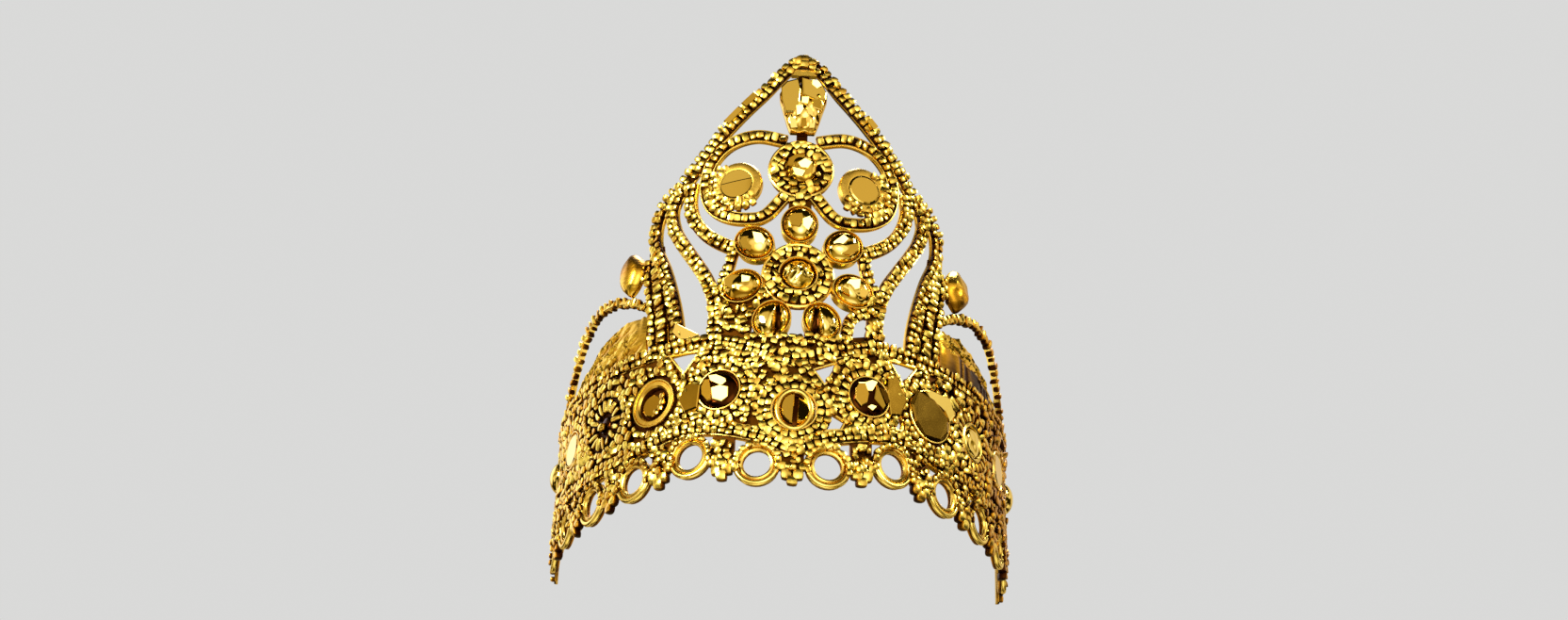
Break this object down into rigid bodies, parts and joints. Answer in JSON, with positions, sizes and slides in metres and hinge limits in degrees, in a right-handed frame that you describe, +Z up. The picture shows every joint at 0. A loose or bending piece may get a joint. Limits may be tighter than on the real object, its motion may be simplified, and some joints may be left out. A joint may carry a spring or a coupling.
{
  "type": "deity crown",
  "caption": "Small open-backed gold crown of beaded wire, with a tall pointed front panel, polished buttons and leaf wings, worn by a figure of a deity.",
  "frame": {"origin": "middle of the footprint, at the level the crown stands on: the feet of its lowest fringe rings", "axes": "+Z up towards the peak, -Y out of the front panel, so the open back is at +Y, and +X to the right of someone facing the front"},
  "size_m": [0.0468, 0.0288, 0.0465],
  "materials": {
    "beaded_gold": "polished",
    "polished_gold": "mirror polished",
    "satin_leaf_gold": "satin"
  },
  "bodies": {
    "root": {"head_band": "beaded_gold", "front_panel": "beaded_gold", "wing_arc_left": "beaded_gold", "wing_arc_right": "beaded_gold", "top_drop": "polished_gold", "rosette_button": "polished_gold", "flower_button": "polished_gold", "scroll_disc_left": "polished_gold", "scroll_disc_right": "polished_gold", "band_button_centre": "polished_gold", "shoulder_stud_left": "polished_gold", "shoulder_stud_right": "polished_gold", "petal_1": "polished_gold", "petal_2": "polished_gold", "petal_3": "polished_gold", "petal_4": "polished_gold", "petal_5": "polished_gold", "petal_6": "polished_gold", "petal_7": "polished_gold", "band_button_left_1": "polished_gold", "band_button_left_2": "polished_gold", "band_button_left_3": "polished_gold", "band_button_left_4": "polished_gold", "band_button_left_5": "polished_gold", "band_button_right_1": "polished_gold", "band_button_right_2": "polished_gold", "band_button_right_3": "polished_gold", "band_button_right_4": "polished_gold", "band_button_right_5": "polished_gold", "leaf_left": "satin_leaf_gold", "leaf_right": "satin_leaf_gold"}
  },
  "joints": []
}
